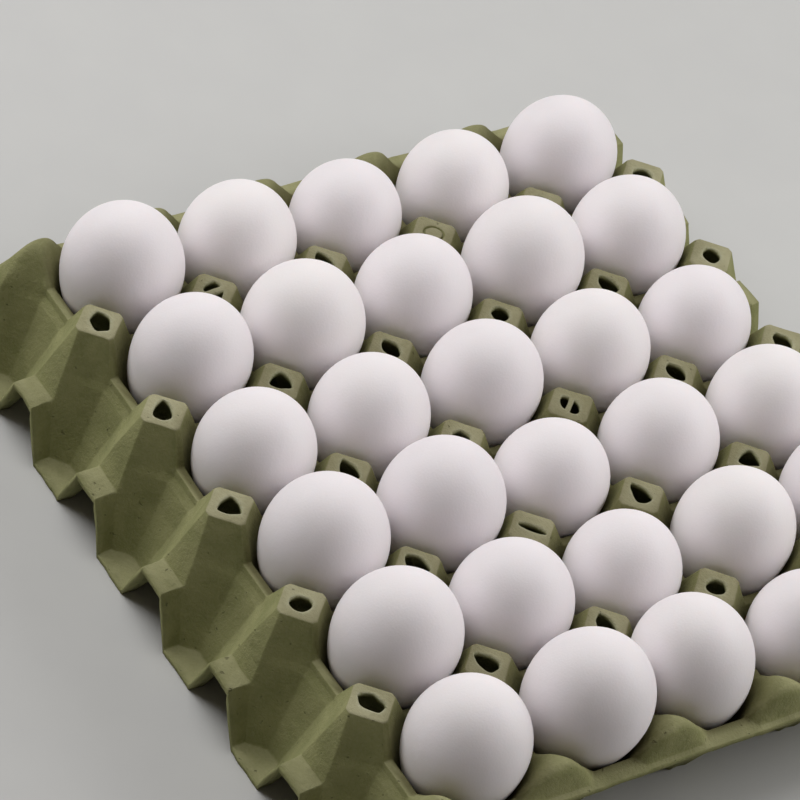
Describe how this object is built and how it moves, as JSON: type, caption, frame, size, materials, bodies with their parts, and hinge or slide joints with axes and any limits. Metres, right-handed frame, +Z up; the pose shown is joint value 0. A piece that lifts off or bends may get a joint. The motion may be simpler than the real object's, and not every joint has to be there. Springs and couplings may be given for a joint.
{
  "type": "tray of eggs",
  "caption": "White hen's eggs standing on their pointed ends in the cups of a green moulded pulp tray, with holed square posts between them.",
  "frame": {"origin": "middle of the tray's footprint, on the surface it stands on", "axes": "+X along the longer rows of cups, +Y along the shorter rows, +Z up out of the cups"},
  "size_m": [0.295, 0.2904, 0.0748],
  "materials": {
    "pulp": "matt moulded paper pulp, sage to olive green, slightly fuzzy",
    "egg_shell": "smooth eggshell, white with a faint pink and lavender cast, soft satin"
  },
  "bodies": {
    "root": {"tray": "pulp", "egg_1_1": "egg_shell", "egg_1_2": "egg_shell", "egg_1_3": "egg_shell", "egg_1_4": "egg_shell", "egg_1_5": "egg_shell", "egg_2_1": "egg_shell", "egg_2_2": "egg_shell", "egg_2_3": "egg_shell", "egg_2_4": "egg_shell", "egg_2_5": "egg_shell", "egg_3_1": "egg_shell", "egg_3_2": "egg_shell", "egg_3_3": "egg_shell", "egg_3_4": "egg_shell", "egg_3_5": "egg_shell", "egg_4_1": "egg_shell", "egg_4_2": "egg_shell", "egg_4_3": "egg_shell", "egg_4_4": "egg_shell", "egg_4_5": "egg_shell", "egg_5_1": "egg_shell", "egg_5_2": "egg_shell", "egg_5_3": "egg_shell", "egg_5_4": "egg_shell", "egg_5_5": "egg_shell", "egg_6_1": "egg_shell", "egg_6_2": "egg_shell", "egg_6_3": "egg_shell", "egg_6_4": "egg_shell", "egg_6_5": "egg_shell"}
  },
  "joints": []
}
